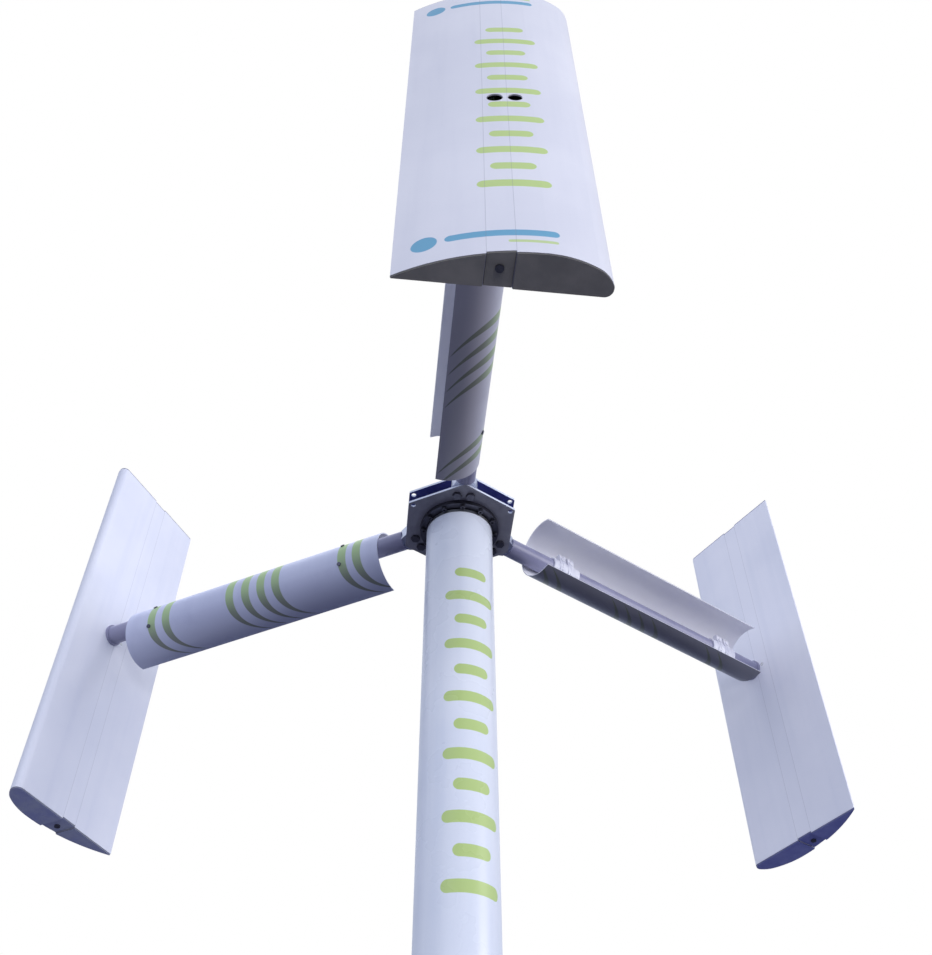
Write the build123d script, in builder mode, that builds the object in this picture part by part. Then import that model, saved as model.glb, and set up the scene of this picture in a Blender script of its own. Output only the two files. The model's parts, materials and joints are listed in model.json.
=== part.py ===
from build123d import *
from math import cos, sin, radians
import os

# Vertical-axis wind turbine: three upright blades on three arms, each arm carrying an open
# half-pipe starter cup, on a tubular mast with a direct-drive generator in its top.
#
# Millimetres, +Z up.  The origin is the centre of the underside of the mast's base flange.
# Every blade, cup and arm is drawn in its arm's own frame: x is the tangent (turning direction,
# counter-clockwise seen from above), and the arm runs outwards from the mast axis.

os.makedirs("parts", exist_ok=True)

# ------------------------------------------------------------------ driving dimensions
ARM_Z = 2100.0                # arm axes above the underside of the base flange
ARM_COUNT = 3
FIRST_ARM_ANGLE = -90.0       # the first arm points along -Y
FLANGE_REACH = 900.0          # mast axis to the inner face of a blade

MAST_R = 70.0
MAST_WALL = 4.0
MAST_BORE_R = MAST_R - MAST_WALL
MAST_TOP = ARM_Z - 38.0

BASE_R = 150.0
BASE_T = 16.0
BASE_BORE_R = 50.0            # way through for the cable
ANCHOR_CIRCLE_R = 125.0
ANCHOR_COUNT = 8
ANCHOR_HOLE_R = 9.0
GUSSET_T = 8.0
GUSSET_REACH = 114.0
GUSSET_TOP = BASE_T + 110.0

# hub: two hexagonal plates either side of the arm axes
PLATE_VERTEX_R = 130.0
PLATE_T = 5.0
PLATE_GAP = 26.0
LOWER_PLATE_Z = ARM_Z - PLATE_GAP / 2 - PLATE_T
UPPER_PLATE_Z = ARM_Z + PLATE_GAP / 2
FREE_HOLE_REACH = 119.0       # open holes at the three vertices that carry no arm
FREE_HOLE_R = 5.0
HUB_FLANGE_R = 84.0
HUB_FLANGE_T = 10.0
HUB_FLANGE_Z = LOWER_PLATE_Z - HUB_FLANGE_T
HUB_SCREW_CIRCLE_R = 76.5
HUB_SCREW_COUNT = 12
SPACER_R = 58.0
ROOT_HALF_W = 27.0
ROOT_START = 62.0
ROOT_SHOULDER = 114.0
ROOT_BOLT_REACH = 98.0
ROOT_BOLT_OFFSET = 14.0

# generator in the mast head
STACK_TOP = MAST_TOP + 8.0    # top face of the generator housing
GEN_BORE_R = 60.0
GEN_BOTTOM = ARM_Z - 230.0
BEARING_R = 31.0
BEARING_BORE_R = 15.0
BEARING_W = 16.0
UPPER_BEARING_Z = ARM_Z - 52.0
LOWER_BEARING_Z = ARM_Z - 208.0
SHAFT_R = 15.0
SHAFT_MID_R = 19.0
SHAFT_TOP_R = 12.0
BOSS_R = 21.0
SEAL_R = 29.0
STATOR_Z = ARM_Z - 135.0
STATOR_H = 80.0
SLOTS = 12
POLES = 8

# arms
TUBE_R = 21.2
TUBE_BORE_R = 18.6
TUBE_START = 131.0
COLLAR_R = 25.0
COLLAR_T = 5.0
TUBE_END = FLANGE_REACH - COLLAR_T
SPIGOT_L = 45.0

# starter cups: an arc of thin sheet that touches the tube at its apex and opens backwards
CUP_R = 70.0
CUP_T = 2.0
CUP_HALF_ANGLE = 112.0
CUP_ROLL = 6.0                # direction of the apex, seen along the arm from outside
CUP_START = 188.0
CUP_END = 842.0
CLIP_REACHES = (282.0, 778.0)
CLIP_W = 40.0
CLIP_SLEEVE_R = 25.0
CLIP_SLEEVE_W = 72.0
CUP_SCREW_ANGLE = 26.0

# blades: three hollow extrusions side by side
BLADE_HALF_H = 475.0
CAP_T = 3.0
TAIL_X = -173.0
NOSE_X = 121.0
SPAR_FROM = -52.0
SPAR_TO = -13.0
SPAR_SHORT = 3.5              # the spar stops this far inside the other two sections
SKIN = 2.5
JOINT_PLATE_T = 8.0
JOINT_PLATE_HALF_H = 28.0
LOCK_BOLT_X = (SPAR_FROM + SPAR_TO) / 2
SPAR_BOSS_Y = 29.0


# ------------------------------------------------------------------ frames and helpers
def arm_angle(arm):
    return FIRST_ARM_ANGLE + arm * 360.0 / ARM_COUNT


def outward(arm):
    return Vector(cos(radians(arm_angle(arm))), sin(radians(arm_angle(arm))), 0)


def tangent(arm):
    return Vector(-sin(radians(arm_angle(arm))), cos(radians(arm_angle(arm))), 0)


def across(arm, reach):
    """Plane square to an arm at a distance from the mast axis: x tangent, y up, z outwards."""
    return Plane(Vector(0, 0, ARM_Z) + outward(arm) * reach, x_dir=tangent(arm), z_dir=outward(arm))


def blade_plan(arm, height):
    """Level plane at a blade: x tangent, y outwards from the blade's inner face, z down."""
    centre = outward(arm) * FLANGE_REACH + Vector(0, 0, height)
    return Plane(centre, x_dir=tangent(arm), z_dir=(0, 0, -1))


def save(piece, label):
    piece.part.label = label
    export_step(piece.part, f"parts/{label}.step")


def turned(points):
    """Part turned about the mast axis from an (r, z) outline."""
    with BuildPart() as piece:
        with BuildSketch(Plane.XZ):
            with BuildLine():
                Polyline(*points, close=True)
            make_face()
        revolve(axis=Axis.Z)
    return piece


# ------------------------------------------------------------------ mast
with BuildPart() as base_flange:
    with BuildSketch(Plane.XY):
        Circle(BASE_R)
        Circle(BASE_BORE_R, mode=Mode.SUBTRACT)
        with PolarLocations(ANCHOR_CIRCLE_R, ANCHOR_COUNT):
            Circle(ANCHOR_HOLE_R, mode=Mode.SUBTRACT)
    extrude(amount=BASE_T)
    top_rims = base_flange.edges().filter_by(GeomType.CIRCLE).group_by(Axis.Z)[-1]
    chamfer(top_rims.sort_by(SortBy.RADIUS)[-1], 2)
save(base_flange, "base_flange")

with BuildPart() as gusset:
    with BuildSketch(Plane.XZ):
        with BuildLine():
            Polyline(
                (MAST_BORE_R, BASE_T),
                (GUSSET_REACH, BASE_T),
                (GUSSET_REACH, BASE_T + 14),
                (MAST_R + 8, GUSSET_TOP),
                (MAST_BORE_R, GUSSET_TOP),
                close=True,
            )
        make_face()
    extrude(amount=GUSSET_T / 2, both=True)

with BuildPart() as base_gussets:
    with PolarLocations(0, ANCHOR_COUNT, start_angle=180.0 / ANCHOR_COUNT):
        add(gusset.part)
    Cylinder(MAST_R, 3 * GUSSET_TOP, mode=Mode.SUBTRACT)
save(base_gussets, "base_gussets")

# flush countersunk screws that hold the generator in the mast
with BuildPart() as mast_screw:
    with BuildSketch(Plane.XZ):
        with BuildLine():
            Polyline((60.5, 0), (60.5, 4), (66.1, 4), (69.6, 7.5), (69.6, 0), close=True)
        make_face()
    revolve(axis=Axis.X)

with BuildPart() as mast_screws:
    with Locations((0, 0, ARM_Z - 82)):
        with PolarLocations(0, 3, start_angle=-30):
            add(mast_screw.part)
save(mast_screws, "mast_screws")

with BuildPart() as mast_tube:
    with BuildSketch(Plane.XY.offset(BASE_T)):
        Circle(MAST_R)
        Circle(MAST_BORE_R, mode=Mode.SUBTRACT)
    extrude(amount=MAST_TOP - BASE_T)
    add(mast_screws.part, mode=Mode.SUBTRACT)
save(mast_tube, "mast_tube")

# ------------------------------------------------------------------ generator, fixed side
gen_top_wall = ARM_Z - 72.0
with BuildPart() as generator_housing:
    add(turned([
        (SEAL_R, STACK_TOP),
        (MAST_R, STACK_TOP),
        (MAST_R, MAST_TOP),
        (MAST_BORE_R, MAST_TOP),
        (MAST_BORE_R, GEN_BOTTOM),
        (GEN_BORE_R, GEN_BOTTOM),
        (GEN_BORE_R, gen_top_wall),
        (BEARING_R, gen_top_wall),
        (BEARING_R, UPPER_BEARING_Z + BEARING_W / 2),
        (SEAL_R, UPPER_BEARING_Z + BEARING_W / 2),
    ]).part)
    add(mast_screws.part, mode=Mode.SUBTRACT)
    with PolarLocations(62.5, 6):
        with Locations((0, 0, GEN_BOTTOM)):
            Cylinder(2, 24, mode=Mode.SUBTRACT)
save(generator_housing, "generator_housing")

cap_bottom = GEN_BOTTOM - 6.0
lower_seat = LOWER_BEARING_Z - BEARING_W / 2
with BuildPart() as generator_lower_cap:
    add(turned([
        (18, cap_bottom),
        (MAST_BORE_R, cap_bottom),
        (MAST_BORE_R, GEN_BOTTOM),
        (GEN_BORE_R, GEN_BOTTOM),
        (GEN_BORE_R, GEN_BOTTOM + 8),
        (44, GEN_BOTTOM + 8),
        (44, lower_seat + BEARING_W),
        (BEARING_R, lower_seat + BEARING_W),
        (BEARING_R, lower_seat),
        (27, lower_seat),
        (27, lower_seat - 8),
        (18, lower_seat - 8),
    ]).part)
    with PolarLocations(62.5, 6):
        with Locations((0, 0, GEN_BOTTOM)):
            Cylinder(2, 24, mode=Mode.SUBTRACT)
save(generator_lower_cap, "generator_lower_cap")

with BuildPart() as lower_cap_screws:
    with BuildSketch(Plane.XY.offset(cap_bottom)):
        with PolarLocations(62.5, 6):
            Circle(2)
    extrude(amount=18)
    with BuildSketch(Plane.XY.offset(cap_bottom)):
        with PolarLocations(62.5, 6):
            Circle(3.5)
            RegularPolygon(1.7, 6, mode=Mode.SUBTRACT)
    extrude(amount=-4)
save(lower_cap_screws, "lower_cap_screws")

TOOTH_W = 9.0
with BuildPart() as stator_core:
    with BuildSketch(Plane.XY.offset(STATOR_Z - STATOR_H / 2)):
        Circle(GEN_BORE_R)
        Circle(52, mode=Mode.SUBTRACT)
        with PolarLocations(48, SLOTS):
            Rectangle(11, TOOTH_W)
        with PolarLocations(43.2, SLOTS):
            Rectangle(2.4, 18)
        Circle(42, mode=Mode.SUBTRACT)
    extrude(amount=STATOR_H)
save(stator_core, "stator_core")

with BuildPart() as coil:
    with BuildSketch(Plane.YZ.offset(45.6)):
        RectangleRounded(20, STATOR_H + 16, 5)
        Rectangle(TOOTH_W + 0.4, STATOR_H + 1, mode=Mode.SUBTRACT)
    extrude(amount=5)

with BuildPart() as stator_windings:
    with Locations((0, 0, STATOR_Z)):
        with PolarLocations(0, SLOTS):
            add(coil.part)
save(stator_windings, "stator_windings")

with BuildPart() as shaft_seal:
    seal_z = ARM_Z - 43.5
    add(turned([
        (BOSS_R + 0.3, seal_z),
        (SEAL_R, seal_z),
        (SEAL_R, seal_z + 7),
        (SEAL_R - 3, seal_z + 7),
        (SEAL_R - 3, seal_z + 2.5),
        (BOSS_R + 2, seal_z + 2.5),
        (BOSS_R + 1.3, seal_z + 6),
        (BOSS_R + 0.3, seal_z + 5),
    ]).part)
save(shaft_seal, "shaft_seal")

with BuildPart() as terminal_block:
    with BuildSketch(Plane.XY.offset(cap_bottom)):
        with Locations((0, 40)):
            RectangleRounded(54, 24, 3)
    extrude(amount=-18)
    with BuildSketch(Plane.XY.offset(cap_bottom - 18)):
        with Locations((0, 40)):
            with GridLocations(17, 1, 3, 1):
                Circle(5)
    extrude(amount=7, mode=Mode.SUBTRACT)
save(terminal_block, "terminal_block")

# ------------------------------------------------------------------ bearings
PITCH_R = 23.0
BALL_R = 4.6
GROOVE_R = 4.85
BALLS = 9
CAGE_HALF_H = 6.0


def bearing(centre_z):
    """Deep-groove ball bearing: outer ring, inner ring, balls and cage."""
    low = centre_z - BEARING_W / 2
    high = centre_z + BEARING_W / 2
    with BuildPart() as outer:
        add(turned([(25.7, low), (BEARING_R, low), (BEARING_R, high), (25.7, high)]).part)
        with Locations((0, 0, centre_z)):
            Torus(PITCH_R, GROOVE_R, mode=Mode.SUBTRACT)
    with BuildPart() as inner:
        add(turned([(BEARING_BORE_R, low), (20.3, low), (20.3, high), (BEARING_BORE_R, high)]).part)
        with Locations((0, 0, centre_z)):
            Torus(PITCH_R, GROOVE_R, mode=Mode.SUBTRACT)
    with BuildPart() as balls:
        with Locations((0, 0, centre_z)):
            with PolarLocations(PITCH_R, BALLS):
                Sphere(BALL_R)
    with BuildPart() as cage:
        with BuildSketch(Plane.XY.offset(centre_z - CAGE_HALF_H)):
            Circle(PITCH_R + 2)
            Circle(PITCH_R - 2, mode=Mode.SUBTRACT)
        extrude(amount=2 * CAGE_HALF_H)
        with Locations((0, 0, centre_z)):
            with PolarLocations(PITCH_R, BALLS):
                Cylinder(BALL_R + 0.15, 8, rotation=(0, 90, 0), mode=Mode.SUBTRACT)
    return outer, inner, balls, cage


for place, bearing_z in (("upper", UPPER_BEARING_Z), ("lower", LOWER_BEARING_Z)):
    outer_ring, inner_ring, ball_set, ball_cage = bearing(bearing_z)
    save(outer_ring, f"{place}_bearing_outer")
    save(inner_ring, f"{place}_bearing_inner")
    save(ball_set, f"{place}_bearing_balls")
    save(ball_cage, f"{place}_bearing_cage")

# ------------------------------------------------------------------ shaft and generator rotor
SHAFT_BOTTOM = ARM_Z - 228.0
SHAFT_STEP = UPPER_PLATE_Z + 3.0
SHAFT_TOP = UPPER_PLATE_Z + PLATE_T + 28.0
circlip_z = lower_seat - 1.7
mid_top = UPPER_BEARING_Z - BEARING_W / 2
mid_bottom = LOWER_BEARING_Z + BEARING_W / 2
boss_bottom = UPPER_BEARING_Z + BEARING_W / 2

with BuildPart() as shaft_key:
    with BuildSketch(Plane.XY.offset(boss_bottom + 3)):
        with Locations((0, 14.75)):
            Rectangle(8, 6.5)
    extrude(amount=20)
save(shaft_key, "shaft_key")

with BuildPart() as shaft_circlip:
    with BuildSketch(Plane.XY.offset(circlip_z)):
        Circle(SHAFT_R + 3)
        Circle(SHAFT_R - 1, mode=Mode.SUBTRACT)
        with Locations((0, -SHAFT_R)):
            Rectangle(9, 12, mode=Mode.SUBTRACT)
    extrude(amount=1.5)
save(shaft_circlip, "shaft_circlip")

with BuildPart() as main_shaft:
    add(turned([
        (0, SHAFT_BOTTOM),
        (SHAFT_R - 1.5, SHAFT_BOTTOM),
        (SHAFT_R, SHAFT_BOTTOM + 1.5),
        (SHAFT_R, circlip_z),
        (SHAFT_R - 1, circlip_z),
        (SHAFT_R - 1, circlip_z + 1.5),
        (SHAFT_R, circlip_z + 1.5),
        (SHAFT_R, mid_bottom),
        (SHAFT_MID_R, mid_bottom),
        (SHAFT_MID_R, mid_top),
        (SHAFT_R, mid_top),
        (SHAFT_R, SHAFT_STEP),
        (SHAFT_TOP_R, SHAFT_STEP),
        (SHAFT_TOP_R, SHAFT_TOP - 1.5),
        (SHAFT_TOP_R - 1.5, SHAFT_TOP),
        (0, SHAFT_TOP),
    ]).part)
    add(shaft_key.part, mode=Mode.SUBTRACT)
save(main_shaft, "main_shaft")

MAGNET_R = 41.0
CARRIER_R = 36.0
with BuildPart() as magnet_carrier:
    with BuildSketch(Plane.XY.offset(STATOR_Z - STATOR_H / 2)):
        Circle(CARRIER_R)
        Circle(SHAFT_MID_R, mode=Mode.SUBTRACT)
        with PolarLocations(27.5, 6):
            Circle(5, mode=Mode.SUBTRACT)
    extrude(amount=STATOR_H)
save(magnet_carrier, "magnet_carrier")

with BuildPart() as rotor_magnets:
    with BuildSketch(Plane.XY.offset(STATOR_Z - STATOR_H / 2)):
        Circle(MAGNET_R)
        Circle(CARRIER_R, mode=Mode.SUBTRACT)
        with PolarLocations((MAGNET_R + CARRIER_R) / 2, POLES):
            Rectangle(10, 4, mode=Mode.SUBTRACT)
    extrude(amount=STATOR_H)
save(rotor_magnets, "rotor_magnets")

# ------------------------------------------------------------------ hub fasteners
HUB_SCREW_HEAD_H = 6.0
with BuildPart() as hub_flange_screws:
    with BuildSketch(Plane.XY.offset(HUB_FLANGE_Z)):
        with PolarLocations(HUB_SCREW_CIRCLE_R, HUB_SCREW_COUNT):
            Circle(3)
    extrude(amount=HUB_FLANGE_T + PLATE_T)
    with BuildSketch(Plane.XY.offset(HUB_FLANGE_Z - HUB_SCREW_HEAD_H)):
        with PolarLocations(HUB_SCREW_CIRCLE_R, HUB_SCREW_COUNT):
            Circle(5)
    extrude(amount=HUB_SCREW_HEAD_H)
    with BuildSketch(Plane.XY.offset(HUB_FLANGE_Z - HUB_SCREW_HEAD_H)):
        with PolarLocations(HUB_SCREW_CIRCLE_R, HUB_SCREW_COUNT):
            RegularPolygon(2.9, 6)
    extrude(amount=3, mode=Mode.SUBTRACT)
save(hub_flange_screws, "hub_flange_screws")

ROOT_BOLT_R = 5.0
ROOT_HEAD_H = 6.4
root_bolt_places = [
    outward(arm) * ROOT_BOLT_REACH + tangent(arm) * side * ROOT_BOLT_OFFSET
    for arm in range(ARM_COUNT)
    for side in (-1, 1)
]
with BuildPart() as root_bolts:
    with BuildSketch(Plane.XY.offset(LOWER_PLATE_Z)):
        with Locations(*root_bolt_places):
            Circle(ROOT_BOLT_R)
    extrude(amount=2 * PLATE_T + PLATE_GAP + 12)
    with BuildSketch(Plane.XY.offset(LOWER_PLATE_Z)):
        with Locations(*root_bolt_places):
            RegularPolygon(9.8, 6)
    extrude(amount=-ROOT_HEAD_H)
save(root_bolts, "root_bolts")

with BuildPart() as root_nuts:
    with BuildSketch(Plane.XY.offset(UPPER_PLATE_Z + PLATE_T)):
        with Locations(*root_bolt_places):
            RegularPolygon(9.8, 6)
            Circle(ROOT_BOLT_R, mode=Mode.SUBTRACT)
    extrude(amount=8)
save(root_nuts, "root_nuts")

# ------------------------------------------------------------------ hub
with BuildPart() as hub_flange:
    add(turned([
        (SHAFT_R, boss_bottom),
        (BOSS_R, boss_bottom),
        (BOSS_R, HUB_FLANGE_Z),
        (HUB_FLANGE_R, HUB_FLANGE_Z),
        (HUB_FLANGE_R, LOWER_PLATE_Z),
        (SHAFT_R, LOWER_PLATE_Z),
    ]).part)
    add(shaft_key.part, mode=Mode.SUBTRACT)
    add(hub_flange_screws.part, mode=Mode.SUBTRACT)
save(hub_flange, "hub_flange")


def hub_plate(bottom):
    """Hexagonal plate with a vertex over every arm and a free hole at every other vertex."""
    with BuildPart() as plate:
        with BuildSketch(Plane.XY.offset(bottom)):
            RegularPolygon(PLATE_VERTEX_R, 6, rotation=FIRST_ARM_ANGLE)
            Circle(SHAFT_R, mode=Mode.SUBTRACT)
            with PolarLocations(FREE_HOLE_REACH, ARM_COUNT, start_angle=FIRST_ARM_ANGLE + 60):
                Circle(FREE_HOLE_R, mode=Mode.SUBTRACT)
        extrude(amount=PLATE_T)
        chamfer(plate.edges().filter_by(Axis.Z), 1.2)
        add(root_bolts.part, mode=Mode.SUBTRACT)
        add(hub_flange_screws.part, mode=Mode.SUBTRACT)
    return plate


save(hub_plate(LOWER_PLATE_Z), "hub_plate_lower")
save(hub_plate(UPPER_PLATE_Z), "hub_plate_upper")

with BuildPart() as hub_spacer:
    with BuildSketch(Plane.XY.offset(LOWER_PLATE_Z + PLATE_T)):
        Circle(SPACER_R)
        Circle(SHAFT_R, mode=Mode.SUBTRACT)
        with PolarLocations(38, 6):
            Circle(8, mode=Mode.SUBTRACT)
    extrude(amount=PLATE_GAP)
save(hub_spacer, "hub_spacer")

WASHER_T = 4.0
with BuildPart() as shaft_washer:
    with BuildSketch(Plane.XY.offset(UPPER_PLATE_Z + PLATE_T)):
        Circle(32)
        Circle(SHAFT_TOP_R, mode=Mode.SUBTRACT)
    extrude(amount=WASHER_T)
    chamfer(shaft_washer.edges().group_by(Axis.Z)[-1].sort_by(SortBy.RADIUS)[-1], 1)
save(shaft_washer, "shaft_washer")

with BuildPart() as shaft_nut:
    with BuildSketch(Plane.XY.offset(UPPER_PLATE_Z + PLATE_T + WASHER_T)):
        RegularPolygon(20.8, 6)
        Circle(SHAFT_TOP_R, mode=Mode.SUBTRACT)
    extrude(amount=18)
save(shaft_nut, "shaft_nut")

with BuildPart() as arm_root_blocks:
    for arm in range(ARM_COUNT):
        plan = Plane((0, 0, ARM_Z - PLATE_GAP / 2), x_dir=tangent(arm), z_dir=(0, 0, -1))
        with BuildSketch(plan):
            with BuildLine():
                Polyline(
                    (-ROOT_HALF_W, ROOT_START),
                    (ROOT_HALF_W, ROOT_START),
                    (ROOT_HALF_W, ROOT_SHOULDER),
                    (TUBE_BORE_R, TUBE_START),
                    (-TUBE_BORE_R, TUBE_START),
                    (-ROOT_HALF_W, ROOT_SHOULDER),
                    close=True,
                )
            make_face()
        extrude(amount=-PLATE_GAP)
        with BuildSketch(across(arm, TUBE_START)):
            Circle(TUBE_BORE_R)
        extrude(amount=SPIGOT_L)
    add(root_bolts.part, mode=Mode.SUBTRACT)
save(arm_root_blocks, "arm_root_blocks")

# ------------------------------------------------------------------ blade fasteners
MAIN_BOLT_R = 6.0
MAIN_HEAD_R = 10.4
LOCK_BOLT_R = 5.0
LOCK_HEAD_R = 9.8
head_seat = FLANGE_REACH + SKIN + JOINT_PLATE_T
with BuildPart() as blade_bolts:
    for arm in range(ARM_COUNT):
        with BuildSketch(across(arm, TUBE_END - 30)):
            Circle(MAIN_BOLT_R)
        extrude(amount=head_seat - TUBE_END + 30)
        with BuildSketch(across(arm, head_seat)):
            RegularPolygon(MAIN_HEAD_R, 6)
        extrude(amount=7.5)
        with BuildSketch(across(arm, FLANGE_REACH)):
            with Locations((LOCK_BOLT_X, 0)):
                Circle(LOCK_BOLT_R)
        extrude(amount=head_seat - FLANGE_REACH)
        with BuildSketch(across(arm, head_seat)):
            with Locations((LOCK_BOLT_X, 0)):
                RegularPolygon(LOCK_HEAD_R, 6)
        extrude(amount=6.4)
save(blade_bolts, "blade_bolts")

with BuildPart() as joint_plates:
    for arm in range(ARM_COUNT):
        with BuildSketch(across(arm, FLANGE_REACH + SKIN)):
            with Locations((SPAR_TO, 0)):
                Rectangle(66, 2 * JOINT_PLATE_HALF_H)
        extrude(amount=JOINT_PLATE_T)
    add(blade_bolts.part, mode=Mode.SUBTRACT)
save(joint_plates, "joint_plates")

with BuildPart() as arm_flanges:
    for arm in range(ARM_COUNT):
        with BuildSketch(across(arm, TUBE_END)):
            Circle(COLLAR_R)
        extrude(amount=COLLAR_T)
        with BuildSketch(across(arm, TUBE_END)):
            Circle(TUBE_BORE_R)
        extrude(amount=-SPIGOT_L)
    add(blade_bolts.part, mode=Mode.SUBTRACT)
save(arm_flanges, "arm_flanges")

# ------------------------------------------------------------------ cups
cup_offset = CUP_R - CUP_T - TUBE_R
cup_centre = Vector(-cup_offset * cos(radians(CUP_ROLL)), -cup_offset * sin(radians(CUP_ROLL)))


def cup_point(radius, angle):
    """Point of the cup's section at an angle from its apex."""
    turn = radians(CUP_ROLL + angle)
    return cup_centre + Vector(cos(turn), sin(turn)) * radius


with BuildPart() as cup_screws:
    for arm in range(ARM_COUNT):
        for reach in CLIP_REACHES:
            for angle in (-CUP_SCREW_ANGLE, CUP_SCREW_ANGLE):
                seat = across(arm, reach).from_local_coords(cup_point(CUP_R, angle))
                centre = across(arm, reach).from_local_coords(cup_centre)
                outwards = Plane(seat, x_dir=outward(arm), z_dir=seat - centre)
                with BuildSketch(outwards):
                    Circle(2.5)
                extrude(amount=-13)
                with BuildSketch(outwards.offset(-0.4)):
                    Circle(4.6)
                extrude(amount=2.8)
save(cup_screws, "cup_screws")

with BuildPart() as cup_clips:
    for arm in range(ARM_COUNT):
        for reach in CLIP_REACHES:
            with BuildSketch(across(arm, reach - CLIP_W / 2)):
                with Locations((-6.5, 0)):
                    RectangleRounded(41, 68, 5)
                with Locations(cup_centre):
                    Circle(CUP_R - CUP_T, mode=Mode.INTERSECT)
                Circle(TUBE_R, mode=Mode.SUBTRACT)
            extrude(amount=CLIP_W)
            with BuildSketch(across(arm, reach - CLIP_SLEEVE_W / 2)):
                Circle(CLIP_SLEEVE_R)
                with Locations((-CLIP_SLEEVE_R, 0)):
                    Rectangle(2 * CLIP_SLEEVE_R + 12, 60, mode=Mode.INTERSECT)
                Circle(TUBE_R, mode=Mode.SUBTRACT)
            extrude(amount=CLIP_SLEEVE_W)
    add(cup_screws.part, mode=Mode.SUBTRACT)
save(cup_clips, "cup_clips")


def arm_tube(arm):
    with BuildPart() as tube:
        with BuildSketch(across(arm, TUBE_START)):
            Circle(TUBE_R)
            Circle(TUBE_BORE_R, mode=Mode.SUBTRACT)
        extrude(amount=TUBE_END - TUBE_START)
    return tube


def cup(arm):
    """Half-pipe of sheet whose opening faces away from the turning direction."""
    with BuildPart() as sheet:
        with BuildSketch(across(arm, CUP_START)):
            with Locations(cup_centre):
                Circle(CUP_R)
                Circle(CUP_R - CUP_T, mode=Mode.SUBTRACT)
            with BuildLine():
                Polyline(
                    cup_centre,
                    cup_point(2 * CUP_R, CUP_HALF_ANGLE),
                    cup_point(3 * CUP_R, 180),
                    cup_point(2 * CUP_R, -CUP_HALF_ANGLE),
                    close=True,
                )
            make_face(mode=Mode.SUBTRACT)
        extrude(amount=CUP_END - CUP_START)
        add(cup_screws.part, mode=Mode.SUBTRACT)
    return sheet


# ------------------------------------------------------------------ blades
TAIL_T = 3.0
CREST = (28.0, 57.5)
BROW = (98.0, 42.0)
NOSE_TIP = (NOSE_X, 19.0)
FLAT_TO = 109.0               # the inner face is flat up to here

# closed aerofoil outline: flat inside, domed outside
with BuildLine(Plane.XY) as blade_outline:
    TangentArc(CREST, (TAIL_X, TAIL_T), tangent=(-1, 0))
    fore = TangentArc(CREST, BROW, tangent=(1, 0))
    brow = TangentArc(BROW, NOSE_TIP, tangent=fore % 1)
    TangentArc(NOSE_TIP, (FLAT_TO, 0), tangent=brow % 1)
    Line((FLAT_TO, 0), (TAIL_X, 0))
    Line((TAIL_X, 0), (TAIL_X, TAIL_T))


def keep_between(x_from, x_to):
    """Keep the strip of the current sketch between two chordwise stations."""
    with Locations(((x_from + x_to) / 2, 0)):
        Rectangle(x_to - x_from, 200, mode=Mode.INTERSECT)


ACCESS_R = 12.0
LOCK_ACCESS_R = 13.0
section_limits = {
    "nose": (SPAR_TO, NOSE_X + 20),
    "spar": (SPAR_FROM, SPAR_TO),
    "tail": (TAIL_X - 20, SPAR_FROM),
}


def half_height(section):
    """Half height of an extrusion, without its end caps."""
    short = SPAR_SHORT if section == "spar" else 0.0
    return BLADE_HALF_H - CAP_T - short


def blade_section(arm, section):
    """One hollow extrusion of a blade, open at both ends."""
    half = half_height(section)
    with BuildPart() as extrusion:
        with BuildSketch(blade_plan(arm, ARM_Z + half)) as profile:
            add(blade_outline.line)
            make_face()
            keep_between(*section_limits[section])
            offset(amount=-SKIN, kind=Kind.INTERSECTION, mode=Mode.SUBTRACT)
            if section == "spar":
                with Locations((LOCK_BOLT_X, SPAR_BOSS_Y / 2)):
                    Rectangle(SKIN, SPAR_BOSS_Y)
                with Locations((LOCK_BOLT_X, SPAR_BOSS_Y)):
                    Circle(5.5)
                    Circle(2.5, mode=Mode.SUBTRACT)
        extrude(amount=2 * half)
        with BuildSketch(across(arm, FLANGE_REACH + SKIN)):
            with Locations((SPAR_TO, 0)):
                Rectangle(66, 2 * JOINT_PLATE_HALF_H)
        extrude(amount=JOINT_PLATE_T, mode=Mode.SUBTRACT)
        with BuildSketch(across(arm, head_seat)):
            Circle(ACCESS_R)
            with Locations((LOCK_BOLT_X, 0)):
                Circle(LOCK_ACCESS_R)
        extrude(amount=80, mode=Mode.SUBTRACT)
        add(blade_bolts.part, mode=Mode.SUBTRACT)
    return extrusion


CAP_INSET = 0.8
PLUG_GAP = 0.2
PLUG_L = 10.0


def blade_caps(arm):
    """End caps of one blade, top and bottom: three plates at each end, two of them with plugs."""
    with BuildPart() as caps:
        for section, limits in section_limits.items():
            half = half_height(section)
            for end in (1, -1):
                with BuildSketch(blade_plan(arm, ARM_Z + end * half)):
                    add(blade_outline.line)
                    make_face()
                    keep_between(*limits)
                    offset(amount=-CAP_INSET, kind=Kind.INTERSECTION, mode=Mode.REPLACE)
                extrude(amount=-end * CAP_T)
                if section != "spar":
                    with BuildSketch(blade_plan(arm, ARM_Z + end * half)):
                        add(blade_outline.line)
                        make_face()
                        keep_between(*limits)
                        offset(amount=-SKIN - PLUG_GAP, kind=Kind.INTERSECTION, mode=Mode.REPLACE)
                    extrude(amount=end * PLUG_L)
        add(cap_screws.part, mode=Mode.SUBTRACT)
    return caps


with BuildPart() as cap_screws:
    screw_seat = half_height("spar") + CAP_T
    for arm in range(ARM_COUNT):
        for end in (1, -1):
            with BuildSketch(blade_plan(arm, ARM_Z + end * screw_seat)):
                with Locations((LOCK_BOLT_X, SPAR_BOSS_Y)):
                    Circle(2.5)
            extrude(amount=end * 24)
            with BuildSketch(blade_plan(arm, ARM_Z + end * screw_seat)):
                with Locations((LOCK_BOLT_X, SPAR_BOSS_Y)):
                    Circle(6)
            extrude(amount=-end * 3)
save(cap_screws, "cap_screws")

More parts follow.
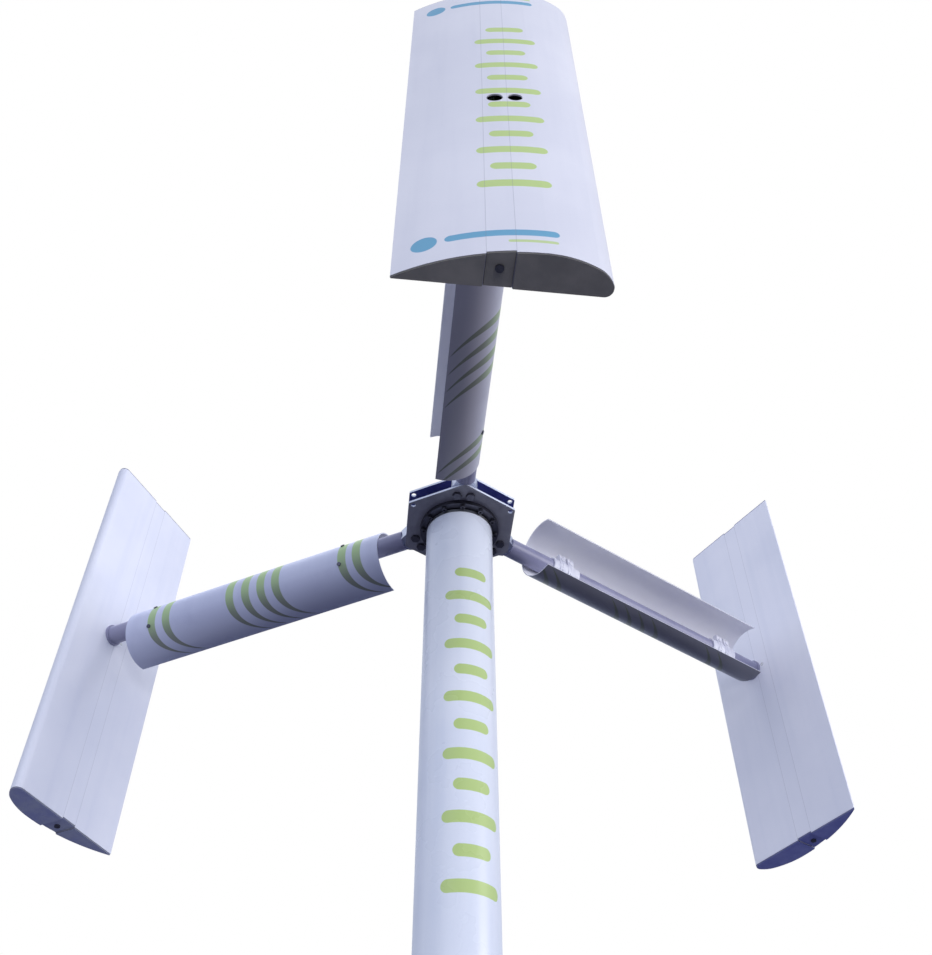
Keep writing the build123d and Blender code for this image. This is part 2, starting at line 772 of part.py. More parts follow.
for arm in range(ARM_COUNT):
    number = arm + 1
    save(arm_tube(arm), f"arm_tube_{number}")
    save(cup(arm), f"cup_{number}")
    for section in section_limits:
        save(blade_section(arm, section), f"blade_{section}_{number}")
    save(blade_caps(arm), f"blade_caps_{number}")
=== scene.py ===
import json
from math import cos, radians, sin, sqrt

import bmesh
import bpy
from mathutils import Matrix, Vector


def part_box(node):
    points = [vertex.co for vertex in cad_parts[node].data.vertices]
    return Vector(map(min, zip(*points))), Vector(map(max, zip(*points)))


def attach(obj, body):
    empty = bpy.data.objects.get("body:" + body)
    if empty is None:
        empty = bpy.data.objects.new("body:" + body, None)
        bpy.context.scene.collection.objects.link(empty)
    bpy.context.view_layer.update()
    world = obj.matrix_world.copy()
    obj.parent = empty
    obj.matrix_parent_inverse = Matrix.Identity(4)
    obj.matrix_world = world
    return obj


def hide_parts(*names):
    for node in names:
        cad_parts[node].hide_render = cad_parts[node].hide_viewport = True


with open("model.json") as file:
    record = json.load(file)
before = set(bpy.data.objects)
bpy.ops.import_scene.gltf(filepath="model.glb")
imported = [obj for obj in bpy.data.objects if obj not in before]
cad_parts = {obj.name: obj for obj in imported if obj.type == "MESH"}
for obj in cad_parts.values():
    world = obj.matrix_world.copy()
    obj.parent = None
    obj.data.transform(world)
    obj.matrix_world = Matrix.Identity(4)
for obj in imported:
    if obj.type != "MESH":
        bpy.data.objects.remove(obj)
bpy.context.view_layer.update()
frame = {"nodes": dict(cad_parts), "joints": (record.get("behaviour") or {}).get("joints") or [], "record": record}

# Looks of a vertical-axis wind turbine.  Metres, +Z up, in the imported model's own frame.
# An arm's own coordinates are its reach from the mast axis, its tangent distance in the turning
# direction, and the height above the arms.

# ------------------------------------------------------------------ sizes read from the frame
nodes = frame["nodes"]
ARM_Z = frame["joints"][0]["pos_m"][2]
ARM_ANGLES = {1: -90.0, 2: 30.0, 3: 150.0}
BLADE_INNER = -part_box("blade_spar_1")[1].y
SPAR_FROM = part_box("blade_spar_1")[0].x
SPAR_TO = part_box("blade_spar_1")[1].x
BLADE_HALF_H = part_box("blade_caps_1")[1].z - ARM_Z
MAST_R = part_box("mast_tube")[1].x
TUBE_R = (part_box("arm_tube_1")[1].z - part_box("arm_tube_1")[0].z) / 2
CUP_R = (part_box("cup_1")[1].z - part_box("cup_1")[0].z) / 2
CUP_CENTRE_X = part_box("cup_1")[1].x - CUP_R
CUP_CENTRE_Z = (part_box("cup_1")[1].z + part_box("cup_1")[0].z) / 2 - ARM_Z


def srgb(red, green, blue):
    """Linear colour with alpha from 0-255 display values."""
    def linear(value):
        share = value / 255
        return share / 12.92 if share < 0.04045 else ((share + 0.055) / 1.055) ** 2.4
    return (linear(red), linear(green), linear(blue), 1.0)


# ------------------------------------------------------------------ printed marks
GREEN = srgb(178, 202, 112)
TEAL = srgb(66, 150, 186)

# column of green bars up a blade's outside, and the one up the mast
BLADE_COLUMN_TANGENT = -0.010
BLADE_COLUMN_HALF_W, BLADE_COLUMN_PITCH, BLADE_COLUMN_BARS = 0.043, 0.052, 13
MAST_COLUMN_ANGLE = radians(-74)
MAST_COLUMN_DROP = 0.54
MAST_COLUMN_HALF_W, MAST_COLUMN_PITCH, MAST_COLUMN_BARS = 0.042, 0.060, 12

# teal bar, teal dot and thin green bar near both ends of a blade's outside
MARK_INSET = 0.052
TEAL_BAR_TANGENT, TEAL_BAR_HALF_W, TEAL_BAR_R = -0.030, 0.068, 0.0075
DOT_TANGENT, DOT_R = -0.132, 0.017
THIN_BAR_ASIDE, THIN_BAR_OUTWARD = 0.040, 0.021
THIN_BAR_HALF_W, THIN_BAR_R = 0.030, 0.0032

# stripes round a cup: reaches and half width at the apex, then their sweep and taper below it
STRIPE_REACHES = (0.240, 0.276, 0.444, 0.482, 0.522, 0.563, 0.733, 0.772)
STRIPE_HALF_W = 0.0108
STRIPE_SWEEP = 0.060
STRIPE_TAPER = 0.72
STRIPE_TAIL = radians(97)


# ------------------------------------------------------------------ node helpers
class Shader:
    """A material's node tree, with short names for the nodes used again and again."""

    def __init__(self, name, roughness, metallic=0.0):
        self.material = bpy.data.materials.new(name)
        self.material.use_nodes = True
        self.tree = self.material.node_tree
        self.surface = self.tree.nodes["Principled BSDF"]
        self.surface.inputs["Roughness"].default_value = roughness
        self.surface.inputs["Metallic"].default_value = metallic

    def feed(self, value, socket):
        if isinstance(value, bpy.types.NodeSocket):
            self.tree.links.new(value, socket)
        else:
            socket.default_value = value

    def maths(self, operation, *values):
        node = self.tree.nodes.new("ShaderNodeMath")
        node.operation = operation
        for socket, value in zip(node.inputs, values):
            self.feed(value, socket)
        return node.outputs[0]

    def total(self, *values):
        result = values[0]
        for value in values[1:]:
            result = self.maths("ADD", result, value)
        return result

    def product(self, *values):
        result = values[0]
        for value in values[1:]:
            result = self.maths("MULTIPLY", result, value)
        return result

    def ramp(self, value, low, high, to_low=0.0, to_high=1.0):
        """Smooth change from to_low at low to to_high at high."""
        node = self.tree.nodes.new("ShaderNodeMapRange")
        node.interpolation_type = "SMOOTHSTEP"
        for socket, item in zip(node.inputs, (value, low, high, to_low, to_high)):
            self.feed(item, socket)
        return node.outputs[0]

    def mix(self, share, first, second):
        node = self.tree.nodes.new("ShaderNodeMix")
        node.data_type = "RGBA"
        sockets = (node.inputs[0], node.inputs[6], node.inputs[7])
        for socket, item in zip(sockets, (share, first, second)):
            self.feed(item, socket)
        return node.outputs[2]

    def point(self, turn=0.0):
        """The surface point in the model's frame, turned back about the mast axis by turn degrees."""
        place = self.tree.nodes.new("ShaderNodeTexCoord").outputs["Object"]
        if not turn:
            return place
        node = self.tree.nodes.new("ShaderNodeVectorRotate")
        node.rotation_type = "Z_AXIS"
        self.feed(place, node.inputs["Vector"])
        node.inputs["Angle"].default_value = radians(-turn)
        return node.outputs[0]

    def split(self, vector):
        node = self.tree.nodes.new("ShaderNodeSeparateXYZ")
        self.feed(vector, node.inputs[0])
        return node.outputs[0], node.outputs[1], node.outputs[2]

    def arm_point(self, arm):
        """Reach, tangent distance and height above the arms, in metres."""
        reach, tangent, height = self.split(self.point(ARM_ANGLES[arm]))
        return reach, tangent, self.maths("SUBTRACT", height, ARM_Z)

    def noise(self, scale, detail=3.0, stretch=(1, 1, 1), vector=None):
        """Noise in the model's frame; scale is in features per metre."""
        mapping = self.tree.nodes.new("ShaderNodeMapping")
        mapping.inputs["Scale"].default_value = stretch
        self.feed(vector or self.point(), mapping.inputs["Vector"])
        node = self.tree.nodes.new("ShaderNodeTexNoise")
        node.inputs["Scale"].default_value = scale
        node.inputs["Detail"].default_value = detail
        self.feed(mapping.outputs[0], node.inputs["Vector"])
        return node.outputs["Fac"]

    def facing_z(self):
        """The surface normal's height component, from -1 to 1."""
        return self.split(self.tree.nodes.new("ShaderNodeNewGeometry").outputs["Normal"])[2]

    def bar(self, across, along, half_width, radius, soft=0.0006):
        """1 inside a level bar with round ends, 0 outside."""
        beyond = self.maths("SUBTRACT", self.maths("ABSOLUTE", across), half_width)
        over = self.maths("MAXIMUM", beyond, 0.0)
        distance = self.maths("SQRT", self.total(self.product(over, over), self.product(along, along)))
        return self.ramp(distance, radius - soft, radius + soft, 1.0, 0.0)

    def ladder(self, across, along, half_width, pitch, count):
        """A column of level bars, long and short in turn."""
        rung = self.maths("FLOOR", self.maths("DIVIDE", along, pitch))
        middle = self.product(self.total(rung, 0.5), pitch)
        short = self.maths("PINGPONG", rung, 1.0)
        width = self.maths("SUBTRACT", half_width, self.product(short, half_width * 0.45))
        rungs = self.bar(across, self.maths("SUBTRACT", along, middle), width, pitch * 0.19)
        inside = self.maths("LESS_THAN", self.maths("ABSOLUTE", middle), count * pitch / 2)
        return self.product(rungs, inside)

    def bump(self, height, distance, strength=1.0):
        node = self.tree.nodes.new("ShaderNodeBump")
        node.inputs["Strength"].default_value = strength
        node.inputs["Distance"].default_value = distance
        self.feed(height, node.inputs["Height"])
        self.feed(node.outputs[0], self.surface.inputs["Normal"])

    def finish(self, colour, roughness=None):
        self.feed(colour, self.surface.inputs["Base Color"])
        if roughness is not None:
            self.feed(roughness, self.surface.inputs["Roughness"])
        return self.material


# ------------------------------------------------------------------ materials
def painted(shader, light, dark, streaks=0.25):
    """Colour of weathered paint: slow mottling, faint rain streaks and fine specks."""
    mottle = shader.ramp(shader.noise(4.0, 4.0), 0.35, 0.65)
    rain = shader.ramp(shader.noise(30.0, 3.0, (1, 1, 0.06)), 0.45, 0.75)
    specks = shader.ramp(shader.noise(420.0, 2.0), 0.62, 0.72)
    share = shader.total(
        shader.product(mottle, 0.45),
        shader.product(rain, streaks),
        shader.product(specks, 0.22),
    )
    return shader.mix(share, light, dark)


def blade_paint(arm, light, dark):
    """Blade paint with the printed marks on the outside and fine seams beside the spar."""
    shader = Shader(f"blade_paint_{arm}", 0.42)
    reach, tangent, height = shader.arm_point(arm)
    colour = painted(shader, light, dark)
    outside = shader.ramp(reach, BLADE_INNER + 0.004, BLADE_INNER + 0.005)
    column = shader.ladder(
        shader.total(tangent, -BLADE_COLUMN_TANGENT),
        height,
        BLADE_COLUMN_HALF_W,
        BLADE_COLUMN_PITCH,
        BLADE_COLUMN_BARS,
    )
    colour = shader.mix(shader.product(outside, column, 0.92), colour, GREEN)
    from_mark = shader.maths("SUBTRACT", BLADE_HALF_H - MARK_INSET, shader.maths("ABSOLUTE", height))
    aside = shader.maths("SUBTRACT", tangent, TEAL_BAR_TANGENT)
    teal_bar = shader.bar(aside, from_mark, TEAL_BAR_HALF_W, TEAL_BAR_R)
    dot = shader.bar(shader.total(tangent, -DOT_TANGENT), from_mark, 0.0, DOT_R)
    thin_bar = shader.bar(
        shader.maths("SUBTRACT", aside, THIN_BAR_ASIDE),
        shader.total(from_mark, THIN_BAR_OUTWARD),
        THIN_BAR_HALF_W,
        THIN_BAR_R,
    )
    teal = shader.maths("MAXIMUM", teal_bar, dot)
    colour = shader.mix(shader.product(outside, teal, 0.9), colour, TEAL)
    colour = shader.mix(shader.product(outside, thin_bar, 0.8), colour, GREEN)
    seams = shader.maths(
        "MINIMUM",
        shader.maths("ABSOLUTE", shader.maths("SUBTRACT", tangent, SPAR_FROM)),
        shader.maths("ABSOLUTE", shader.maths("SUBTRACT", tangent, SPAR_TO)),
    )
    seam = shader.ramp(seams, 0.0002, 0.0007, 1.0, 0.0)
    colour = shader.mix(shader.product(seam, 0.35), colour, srgb(120, 122, 140))
    peel = shader.noise(900.0, 2.0)
    shader.bump(shader.maths("SUBTRACT", shader.product(peel, 0.2), seam), 0.0004, 0.35)
    roughness = shader.ramp(shader.noise(9.0, 4.0), 0.3, 0.7, 0.36, 0.50)
    return shader.finish(colour, roughness)


def cup_paint(arm, light, dark, painted_shade_under):
    """Cup paint: pale inside, lifted to near white as painted light; striped outside, the stripes' ink painted
    darker towards the underside as painted shade; and a painted shade colour where it faces down.
    """
    shader = Shader(f"cup_paint_{arm}", 0.4)
    reach, tangent, height = shader.arm_point(arm)
    colour = painted(shader, light, dark)
    # painted shade: faces turned down take the arm's underside colour
    colour = shader.mix(shader.ramp(shader.facing_z(), -0.95, -0.5, 0.85, 0.0), colour, painted_shade_under)
    aside = shader.maths("SUBTRACT", tangent, CUP_CENTRE_X)
    above = shader.maths("SUBTRACT", height, CUP_CENTRE_Z)
    angle = shader.maths("ARCTAN2", above, aside)
    radius = shader.maths("SQRT", shader.total(shader.product(aside, aside), shader.product(above, above)))
    outside = shader.ramp(radius, CUP_R - 0.0012, CUP_R - 0.0008)
    below = shader.maths("DIVIDE", shader.maths("MAXIMUM", shader.product(angle, -1.0), 0.0), STRIPE_TAIL)
    sweep = shader.product(below, below, below, STRIPE_SWEEP)
    taper = shader.maths("SUBTRACT", 1.0, shader.product(below, below, STRIPE_TAPER))
    half_width = shader.product(taper, STRIPE_HALF_W)
    stripes = 0.0
    for reach_at_apex in STRIPE_REACHES:
        middle = shader.maths("SUBTRACT", reach_at_apex, sweep)
        away = shader.maths("ABSOLUTE", shader.maths("SUBTRACT", reach, middle))
        stripe = shader.ramp(shader.maths("SUBTRACT", half_width, away), 0.0, 0.0012)
        stripes = shader.maths("MAXIMUM", stripes, stripe)
    ends = shader.product(
        shader.ramp(angle, radians(-106), radians(-98)),
        shader.ramp(angle, radians(56), radians(60), 1.0, 0.0),
    )
    stripes = shader.product(stripes, ends)
    # the inside: a paler face, lifted to near white as painted light on the inner wall
    inner = painted(shader, srgb(250, 250, 253), srgb(238, 238, 246))
    colour = shader.mix(outside, inner, colour)
    # painted shade on the stripes: their ink goes from green to dark olive as they turn under the cup
    stripe_lit_share = shader.ramp(angle, radians(-62), radians(5))
    stripe_ink_shaded = shader.mix(stripe_lit_share, srgb(112, 118, 98), srgb(152, 184, 112))
    colour = shader.mix(shader.product(stripes, outside, 0.85), colour, stripe_ink_shaded)
    shader.bump(shader.noise(900.0, 2.0), 0.0003, 0.3)
    return shader.finish(colour, shader.ramp(shader.noise(12.0, 4.0), 0.3, 0.7, 0.34, 0.46))


def mast_paint():
    """Glossier paint with a column of bars on the side that the camera sees."""
    shader = Shader("mast_paint", 0.3)
    colour = painted(shader, srgb(226, 230, 240), srgb(210, 217, 233), 0.35)
    x, y, z = shader.split(shader.point())
    turned = shader.maths("SUBTRACT", shader.maths("ARCTAN2", y, x), MAST_COLUMN_ANGLE)
    across = shader.product(turned, MAST_R)
    along = shader.maths("SUBTRACT", z, ARM_Z - MAST_COLUMN_DROP)
    column = shader.ladder(across, along, MAST_COLUMN_HALF_W, MAST_COLUMN_PITCH, MAST_COLUMN_BARS)
    colour = shader.mix(shader.product(column, 0.92), colour, GREEN)
    shader.bump(shader.noise(700.0, 2.0), 0.0003, 0.25)
    return shader.finish(colour, shader.ramp(shader.noise(7.0, 4.0), 0.3, 0.7, 0.24, 0.36))


def arm_paint():
    """Plain paint of the arm tubes."""
    shader = Shader("arm_paint", 0.38)
    colour = painted(shader, srgb(144, 144, 172), srgb(124, 124, 154))
    shader.bump(shader.noise(800.0, 2.0), 0.0003, 0.3)
    return shader.finish(colour)


def hub_paint():
    """Coated plates: bare cut edges painted near white as a painted highlight, the coat grey underneath and
    painted darker on top as painted shade, and navy below the upper plate as painted shade.
    """
    shader = Shader("hub_plate", 0.4)
    face = shader.ramp(shader.maths("ABSOLUTE", shader.facing_z()), 0.5, 0.8)
    # painted highlight: the bare cut edges are made near white and sky blue
    edge = shader.mix(shader.noise(300.0, 2.0, (1, 1, 8)), srgb(240, 246, 255), srgb(214, 222, 246))
    wear = shader.ramp(shader.noise(18.0, 5.0), 0.35, 0.7)
    coat = shader.mix(wear, srgb(158, 158, 168), srgb(134, 134, 146))
    underside = shader.ramp(shader.facing_z(), -0.8, -0.5, 1.0, 0.0)
    above_arms = shader.ramp(shader.split(shader.point())[2], ARM_Z + 0.010, ARM_Z + 0.014)
    painted_shade_between = shader.product(underside, above_arms)
    # painted shade: faces not turned down get this darker copy of the coat
    top = shader.mix(shader.noise(18.0, 5.0), srgb(84, 84, 94), srgb(66, 66, 76))
    coat = shader.mix(underside, top, coat)
    # painted shade: faces turned down above the arms, under the upper plate, are made navy
    navy = shader.mix(shader.noise(18.0, 5.0), srgb(84, 96, 214), srgb(64, 74, 176))
    coat = shader.mix(painted_shade_between, coat, navy)
    scuffs = shader.ramp(shader.noise(160.0, 4.0), 0.66, 0.72)
    coat = shader.mix(shader.product(scuffs, 0.4), coat, srgb(150, 152, 165))
    shader.bump(shader.noise(600.0, 3.0), 0.0003, 0.3)
    return shader.finish(shader.mix(face, edge, coat))


def cap_plastic(arm, light, dark):
    """Finely textured moulded plastic, painted light on the faces turned down and darkened wherever it doesn't
    face down, a lit and a shaded copy of one plastic.
    """
    shader = Shader(f"cap_plastic_{arm}", 0.42)
    colour = shader.mix(shader.ramp(shader.noise(25.0, 5.0), 0.3, 0.7), light, dark)
    # painted light and shade: faces turned down keep the arm's light colour, all others are darkened
    not_below = shader.ramp(shader.facing_z(), -0.8, -0.5)
    colour = shader.mix(not_below, colour, shader.mix(0.72, colour, srgb(24, 24, 34)))
    shader.bump(shader.noise(1200.0, 2.0), 0.0004, 0.4)
    return shader.finish(colour, shader.ramp(shader.noise(60.0, 3.0), 0.3, 0.7, 0.35, 0.5))


def metal(name, light, dark, roughness, grain=(1, 1, 1), scale=260.0):
    """Bare metal with machining or brushing marks along the grain."""
    shader = Shader(name, roughness, 1.0)
    marks = shader.noise(scale, 4.0, grain)
    stain = shader.ramp(shader.noise(22.0, 4.0), 0.35, 0.75)
    colour = shader.mix(shader.total(shader.product(marks, 0.6), shader.product(stain, 0.3)), light, dark)
    shader.bump(marks, 0.0002, 0.25)
    rough = shader.total(roughness - 0.06, shader.product(marks, 0.14))
    return shader.finish(colour, rough)


def moulded(name, light, dark, roughness, scale=600.0):
    """Plain moulded plastic, rubber or lacquer."""
    shader = Shader(name, roughness)
    colour = shader.mix(shader.ramp(shader.noise(45.0, 4.0), 0.3, 0.7), light, dark)
    shader.bump(shader.noise(scale, 3.0), 0.0003, 0.3)
    return shader.finish(colour)


def galvanised():
    """Hot-dip zinc: overlapping crystal patches of slightly different grey."""
    shader = Shader("galvanised", 0.45, 0.75)
    patches = shader.tree.nodes.new("ShaderNodeTexVoronoi")
    patches.inputs["Scale"].default_value = 70.0
    shader.feed(shader.point(), patches.inputs["Vector"])
    flakes = shader.split(patches.outputs["Color"])[0]
    bloom = shader.ramp(shader.noise(14.0, 5.0), 0.4, 0.7)
    colour = shader.mix(flakes, srgb(176, 180, 186), srgb(150, 155, 162))
    colour = shader.mix(shader.product(bloom, 0.35), colour, srgb(205, 207, 210))
    shader.bump(shader.noise(220.0, 4.0), 0.0005, 0.3)
    return shader.finish(colour, shader.ramp(flakes, 0.0, 1.0, 0.38, 0.55))


dark_steel = metal("dark_steel", srgb(112, 112, 122), srgb(78, 78, 88), 0.38)
stainless = metal("stainless", srgb(222, 222, 226), srgb(172, 172, 178), 0.26)
hub_metal = metal("hub_metal", srgb(214, 218, 232), srgb(176, 182, 202), 0.32, (1, 1, 6))
ground_steel = metal("ground_steel", srgb(200, 200, 204), srgb(150, 150, 154), 0.22, (1, 1, 10))
node_materials = {
    "mast_paint": mast_paint(),
    "base_galvanised": galvanised(),
    "stainless": stainless,
    "hub_plate": hub_paint(),
    "hub_metal": hub_metal,
    "arm_paint": arm_paint(),
    "clip_plastic": moulded("clip_plastic", srgb(226, 226, 236), srgb(204, 205, 220), 0.4),
    "housing": metal("housing", srgb(196, 198, 204), srgb(160, 163, 170), 0.36, (1, 1, 8)),
    "shaft_steel": ground_steel,
    "bearing_steel": metal("bearing_steel", srgb(214, 214, 218), srgb(176, 176, 182), 0.14),
    "cage_brass": metal("cage_brass", srgb(206, 172, 98), srgb(164, 130, 66), 0.3),
    "lamination": metal("lamination", srgb(112, 112, 116), srgb(66, 66, 70), 0.45, (0.2, 0.2, 14)),
    "copper": moulded("copper", srgb(196, 112, 66), srgb(146, 74, 40), 0.28, 240.0),
    "magnet": metal("magnet", srgb(188, 188, 192), srgb(150, 150, 156), 0.22),
    "seal_rubber": moulded("seal_rubber", srgb(42, 42, 44), srgb(26, 26, 28), 0.6),
    "terminal_plastic": moulded("terminal_plastic", srgb(70, 74, 78), srgb(48, 52, 56), 0.5),
}

# colours by arm, each arm's copy made lighter, darker or bluer as painted light and shade on one paint: a pair is
# light and dark mottling, and a cup's third is the painted shade of its underside
blade_colours_painted_light = {
    1: (srgb(218, 218, 227), srgb(203, 204, 216)),
    2: (srgb(230, 231, 242), srgb(214, 217, 232)),
    3: (srgb(226, 228, 240), srgb(208, 212, 230)),
}
cup_colours_painted_light = {
    1: (srgb(188, 187, 200), srgb(164, 163, 180), srgb(180, 178, 188)),
    2: (srgb(188, 190, 206), srgb(164, 167, 186), srgb(122, 122, 132)),
    3: (srgb(196, 201, 226), srgb(172, 178, 208), srgb(188, 194, 220)),
}
cap_colours_painted_light = {
    1: (srgb(178, 174, 164), srgb(158, 155, 147)),
    2: (srgb(176, 184, 252), srgb(154, 162, 240)),
    3: (srgb(222, 230, 255), srgb(198, 206, 255)),
}

arm_materials = {}
for arm in ARM_ANGLES:
    arm_materials["blade_paint", arm] = blade_paint(arm, *blade_colours_painted_light[arm])
    arm_materials["cup_paint", arm] = cup_paint(arm, *cup_colours_painted_light[arm])
    arm_materials["blade_cap", arm] = cap_plastic(arm, *cap_colours_painted_light[arm])

DARK_NODES = {"hub_flange_screws", "root_bolts", "cap_screws", "hub_flange", "cup_screws"}


def material_of(node, slot):
    """Dark steel for the nodes listed, an arm's own paint or plastic, or else the slot's material."""
    if node in DARK_NODES:
        return dark_steel
    if slot in node_materials:
        return node_materials[slot]
    return arm_materials[slot, int(node[-1])]


for part in frame["record"]["subparts"]:
    mesh = nodes[part["node"]].data
    mesh.materials.clear()
    mesh.materials.append(material_of(part["node"], part["material_slot"]))


# ------------------------------------------------------------------ cup clips
CLIP_REACHES = (0.282, 0.778)
SLEEVE_HALF_W = 0.036
SLEEVE_WALL = 0.0036
SEAT_R = TUBE_R + 0.0002
CUP_SEAT_R = CUP_R - 0.0024

# a saddle stands at either end of the clip, with a narrow rib raised from its back
CLIP_HALF_W = 0.020
SADDLE_HALF_W = 0.0085
RIB_HALF_W = 0.0020
RIB_GROW = 0.0020
EAR_HEIGHTS = (0.0205, 0.024, 0.028, 0.032, 0.034)

# collar round each end of the sleeve
COLLAR_HALF_W = 0.0025
COLLAR_INSET = 0.0030
COLLAR_GROW = 0.0004

# screws of a saddle: tangent, height, direction along the tangent, head radius and head height
SCREWS = ((-0.0165, 0.0170, -1, 0.0062, 0.0098), (-0.0095, 0.0300, 1, 0.0042, 0.0060))
WASHER_T = 0.0010
WASHER_SHARE = 1.5
HEAD_TAPER = 0.94


def arm_matrix(arm, reach):
    """Frame on an arm: x along the tangent, y towards the mast, z up, origin on the arm's axis."""
    return Matrix.Rotation(radians(ARM_ANGLES[arm] + 90), 4, "Z") @ Matrix.Translation((0, -reach, 0))


def wall_point(height):
    """Point just clear of the cup's inner face, at a height from the arm's axis."""
    return CUP_CENTRE_X + sqrt(CUP_SEAT_R**2 - (height - CUP_CENTRE_Z) ** 2), height


def tube_arc(radius, start, stop):
    """Points about the arm's axis from start to stop degrees, 0 being the cup's side."""
    steps = 16
    turns = [radians(start + (stop - start) * k / steps) for k in range(steps + 1)]
    return [(radius * cos(turn), radius * sin(turn)) for turn in turns]


def saddle_outline(grow):
    """Closed (tangent, height) outline of a saddle with ears on the cup and two upright lugs."""
    wall = [wall_point(z) for z in EAR_HEIGHTS]
    wall_foot = [wall_point(-z) for z in reversed(EAR_HEIGHTS)]
    back = [
        (0.0030, 0.034),
        (-0.0020, 0.0262 + grow),
        (-0.0090, 0.0250 + grow),
        (-0.0120 + grow, 0.0338),
        (-0.0205, 0.0338),
        (-0.0238, 0.0300),
        (-0.0238, 0.0150),
        (-0.0252 - grow / 2, 0.0060),
    ]
    outer = wall + back + [(x, -z) for x, z in reversed(back)] + wall_foot
    return outer + tube_arc(SEAT_R, -60, -300)


def sleeve_outline(grow):
    """Closed outline of the thin sleeve that hugs the open side of the tube."""
    return tube_arc(TUBE_R + SLEEVE_WALL + grow, 62, 298) + tube_arc(SEAT_R, -62, -298)


def add_prism(shape, outline, low, high):
    """Extrude a closed (x, z) outline from y = low to y = high."""
    rings = [[shape.verts.new((x, y, z)) for x, z in outline] for y in (low, high)]
    shape.faces.new(rings[0])
    shape.faces.new(reversed(rings[1]))
    for k in range(len(outline)):
        after = (k + 1) % len(outline)
        shape.faces.new((rings[0][after], rings[0][k], rings[1][k], rings[1][after]))


def add_screw(shape, place, direction, radius, height):
    """Hexagon head on a washer, standing on place and pointing along direction."""
    turn = Vector(direction).to_track_quat("Z", "Y").to_matrix().to_4x4()
    for segments, r, low, high in ((20, radius * WASHER_SHARE, 0.0, WASHER_T), (6, radius, WASHER_T, height)):
        middle = Matrix.Translation(Vector(place)) @ turn @ Matrix.Translation((0, 0, (low + high) / 2))
        bmesh.ops.create_cone(
            shape,
            cap_ends=True,
            segments=segments,
            radius1=r,
            radius2=r * HEAD_TAPER,
            depth=high - low,
            matrix=middle,
        )


def make_clip(arm, number, reach):
    """Clamp that ties a cup to its tube: a sleeve and two ribbed saddles with screws."""
    shape = bmesh.new()
    add_prism(shape, sleeve_outline(0.0), -SLEEVE_HALF_W, SLEEVE_HALF_W)
    for end in (-1, 1):
        middle = end * (SLEEVE_HALF_W - COLLAR_INSET)
        add_prism(shape, sleeve_outline(COLLAR_GROW), middle - COLLAR_HALF_W, middle + COLLAR_HALF_W)
        middle = end * (CLIP_HALF_W - SADDLE_HALF_W)
        for grow, half in ((0.0, SADDLE_HALF_W), (RIB_GROW, RIB_HALF_W)):
            add_prism(shape, saddle_outline(grow), middle - half, middle + half)
        for side in (-1, 1):
            for x, z, way, radius, height in SCREWS:
                add_screw(shape, (x, middle, side * z), (way, 0, 0), radius, height)
    bmesh.ops.recalc_face_normals(shape, faces=shape.faces)
    mesh = bpy.data.meshes.new(f"cup_clip_{arm}_{number}")
    shape.to_mesh(mesh)
    shape.free()
    mesh.transform(Matrix.Translation((0, 0, ARM_Z)) @ arm_matrix(arm, reach))
    mesh.materials.append(node_materials["clip_plastic"])
    clip = bpy.data.objects.new(mesh.name, mesh)
    bpy.context.scene.collection.objects.link(clip)
    bevel = clip.modifiers.new("edges", "BEVEL")
    bevel.width = 0.0007
    bevel.segments = 2
    bevel.limit_method = "ANGLE"
    bevel.angle_limit = radians(40)
    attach(clip, "rotor")
    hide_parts("cup_clips")


for arm in ARM_ANGLES:
    for number, reach in enumerate(CLIP_REACHES, 1):
        make_clip(arm, number, reach)


# ------------------------------------------------------------------ stage, light and camera
LIGHT_AIM = Vector((0, 0, 1.9))


def make_floor():
    """Pale floor that the camera sees, but that throws no light back onto the object."""
    mesh = bpy.data.meshes.new("floor")
    shape = bmesh.new()
    bmesh.ops.create_circle(shape, cap_ends=True, segments=96, radius=14.0)
    shape.to_mesh(mesh)
    shape.free()
    floor = bpy.data.objects.new("floor", mesh)
    bpy.context.scene.collection.objects.link(floor)
    shader = Shader("floor", 0.7)
    mottle = shader.ramp(shader.noise(1.5, 5.0), 0.3, 0.7)
    colour = shader.mix(mottle, srgb(226, 227, 230), srgb(218, 219, 223))
    mesh.materials.append(shader.finish(colour))
    floor.visible_diffuse = False
    floor.visible_glossy = False


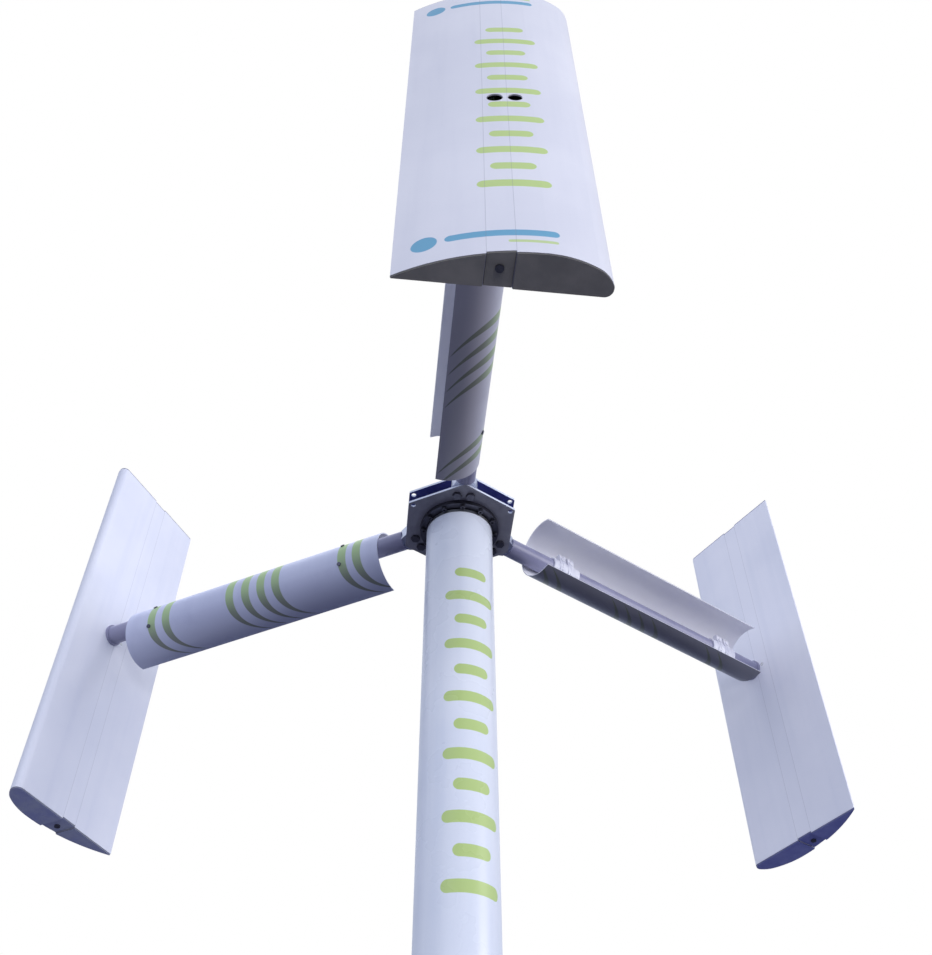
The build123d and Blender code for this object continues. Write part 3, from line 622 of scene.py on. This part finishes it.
def make_world():
    """White behind the object; for its light, a bright upper sky over a dim lower half."""
    world = bpy.data.worlds.new("studio")
    world.use_nodes = True
    bpy.context.scene.world = world
    tree = world.node_tree
    place = tree.nodes.new("ShaderNodeTexCoord")
    split = tree.nodes.new("ShaderNodeSeparateXYZ")
    tree.links.new(place.outputs["Generated"], split.inputs[0])
    height = tree.nodes.new("ShaderNodeMapRange")
    height.inputs["From Min"].default_value = -1.0
    tree.links.new(split.outputs[2], height.inputs[0])
    sky = tree.nodes.new("ShaderNodeValToRGB")
    stops = (
        (0.0, srgb(80, 82, 98)),
        (0.38, srgb(90, 92, 118)),
        (0.50, srgb(146, 156, 196)),
        (0.58, srgb(216, 226, 248)),
        (1.0, srgb(240, 245, 255)),
    )
    while len(sky.color_ramp.elements) < len(stops):
        sky.color_ramp.elements.new(0.5)
    for element, (position, colour) in zip(sky.color_ramp.elements, stops):
        element.position = position
        element.color = colour
    tree.links.new(height.outputs[0], sky.inputs[0])
    light = tree.nodes["Background"]
    light.inputs["Strength"].default_value = 0.95
    tree.links.new(sky.outputs[0], light.inputs["Color"])
    seen = tree.nodes.new("ShaderNodeBackground")
    seen.inputs["Color"].default_value = (1, 1, 1, 1)
    seen.inputs["Strength"].default_value = 1.0
    path = tree.nodes.new("ShaderNodeLightPath")
    choose = tree.nodes.new("ShaderNodeMixShader")
    tree.links.new(path.outputs["Is Camera Ray"], choose.inputs[0])
    tree.links.new(light.outputs[0], choose.inputs[1])
    tree.links.new(seen.outputs[0], choose.inputs[2])
    tree.links.new(choose.outputs[0], tree.nodes["World Output"].inputs["Surface"])


def area_light(name, place, size, power, colour):
    """Square lamp that points at the rotor; its size is in metres and its power in watts."""
    data = bpy.data.lights.new(name, "AREA")
    data.size = size
    data.energy = power
    data.color = colour
    lamp = bpy.data.objects.new(name, data)
    lamp.location = place
    lamp.rotation_mode = "QUATERNION"
    lamp.rotation_quaternion = (LIGHT_AIM - Vector(place)).to_track_quat("-Z", "Y")
    bpy.context.scene.collection.objects.link(lamp)


def make_camera():
    """Low beside the mast, looking steeply up at the rotor."""
    yaw, pitch, roll = radians(9.087), radians(47.670), radians(-2.639)
    forward = Vector((sin(yaw) * cos(pitch), cos(yaw) * cos(pitch), sin(pitch)))
    level = Vector((cos(yaw), -sin(yaw), 0))
    upright = level.cross(forward)
    right = level * cos(roll) + upright * sin(roll)
    up = upright * cos(roll) - level * sin(roll)
    data = bpy.data.cameras.new("camera")
    data.sensor_width = 36.0
    data.sensor_fit = "HORIZONTAL"
    data.lens = 43.10
    data.shift_x = -0.0494
    data.clip_start = 0.05
    data.clip_end = 100.0
    camera = bpy.data.objects.new("camera", data)
    turn = Matrix((right, up, -forward)).transposed().to_4x4()
    camera.matrix_world = Matrix.Translation((-0.1511, -1.6931, ARM_Z - 1.7247)) @ turn
    bpy.context.scene.collection.objects.link(camera)
    bpy.context.scene.camera = camera


make_floor()
make_world()
area_light("key", (5.2, -2.6, 2.6), 2.6, 148.0, (1.0, 0.975, 0.95))
area_light("fill", (-3.0, -5.4, 2.2), 3.0, 52.0, (0.93, 0.96, 1.0))
area_light("low_front", (0.6, -6.0, 0.7), 2.4, 124.0, (0.95, 0.96, 1.0))
area_light("top", (0.2, 1.0, 7.0), 1.4, 220.0, (1.0, 0.99, 0.97))
make_camera()
bpy.context.scene.view_settings.view_transform = "Standard"
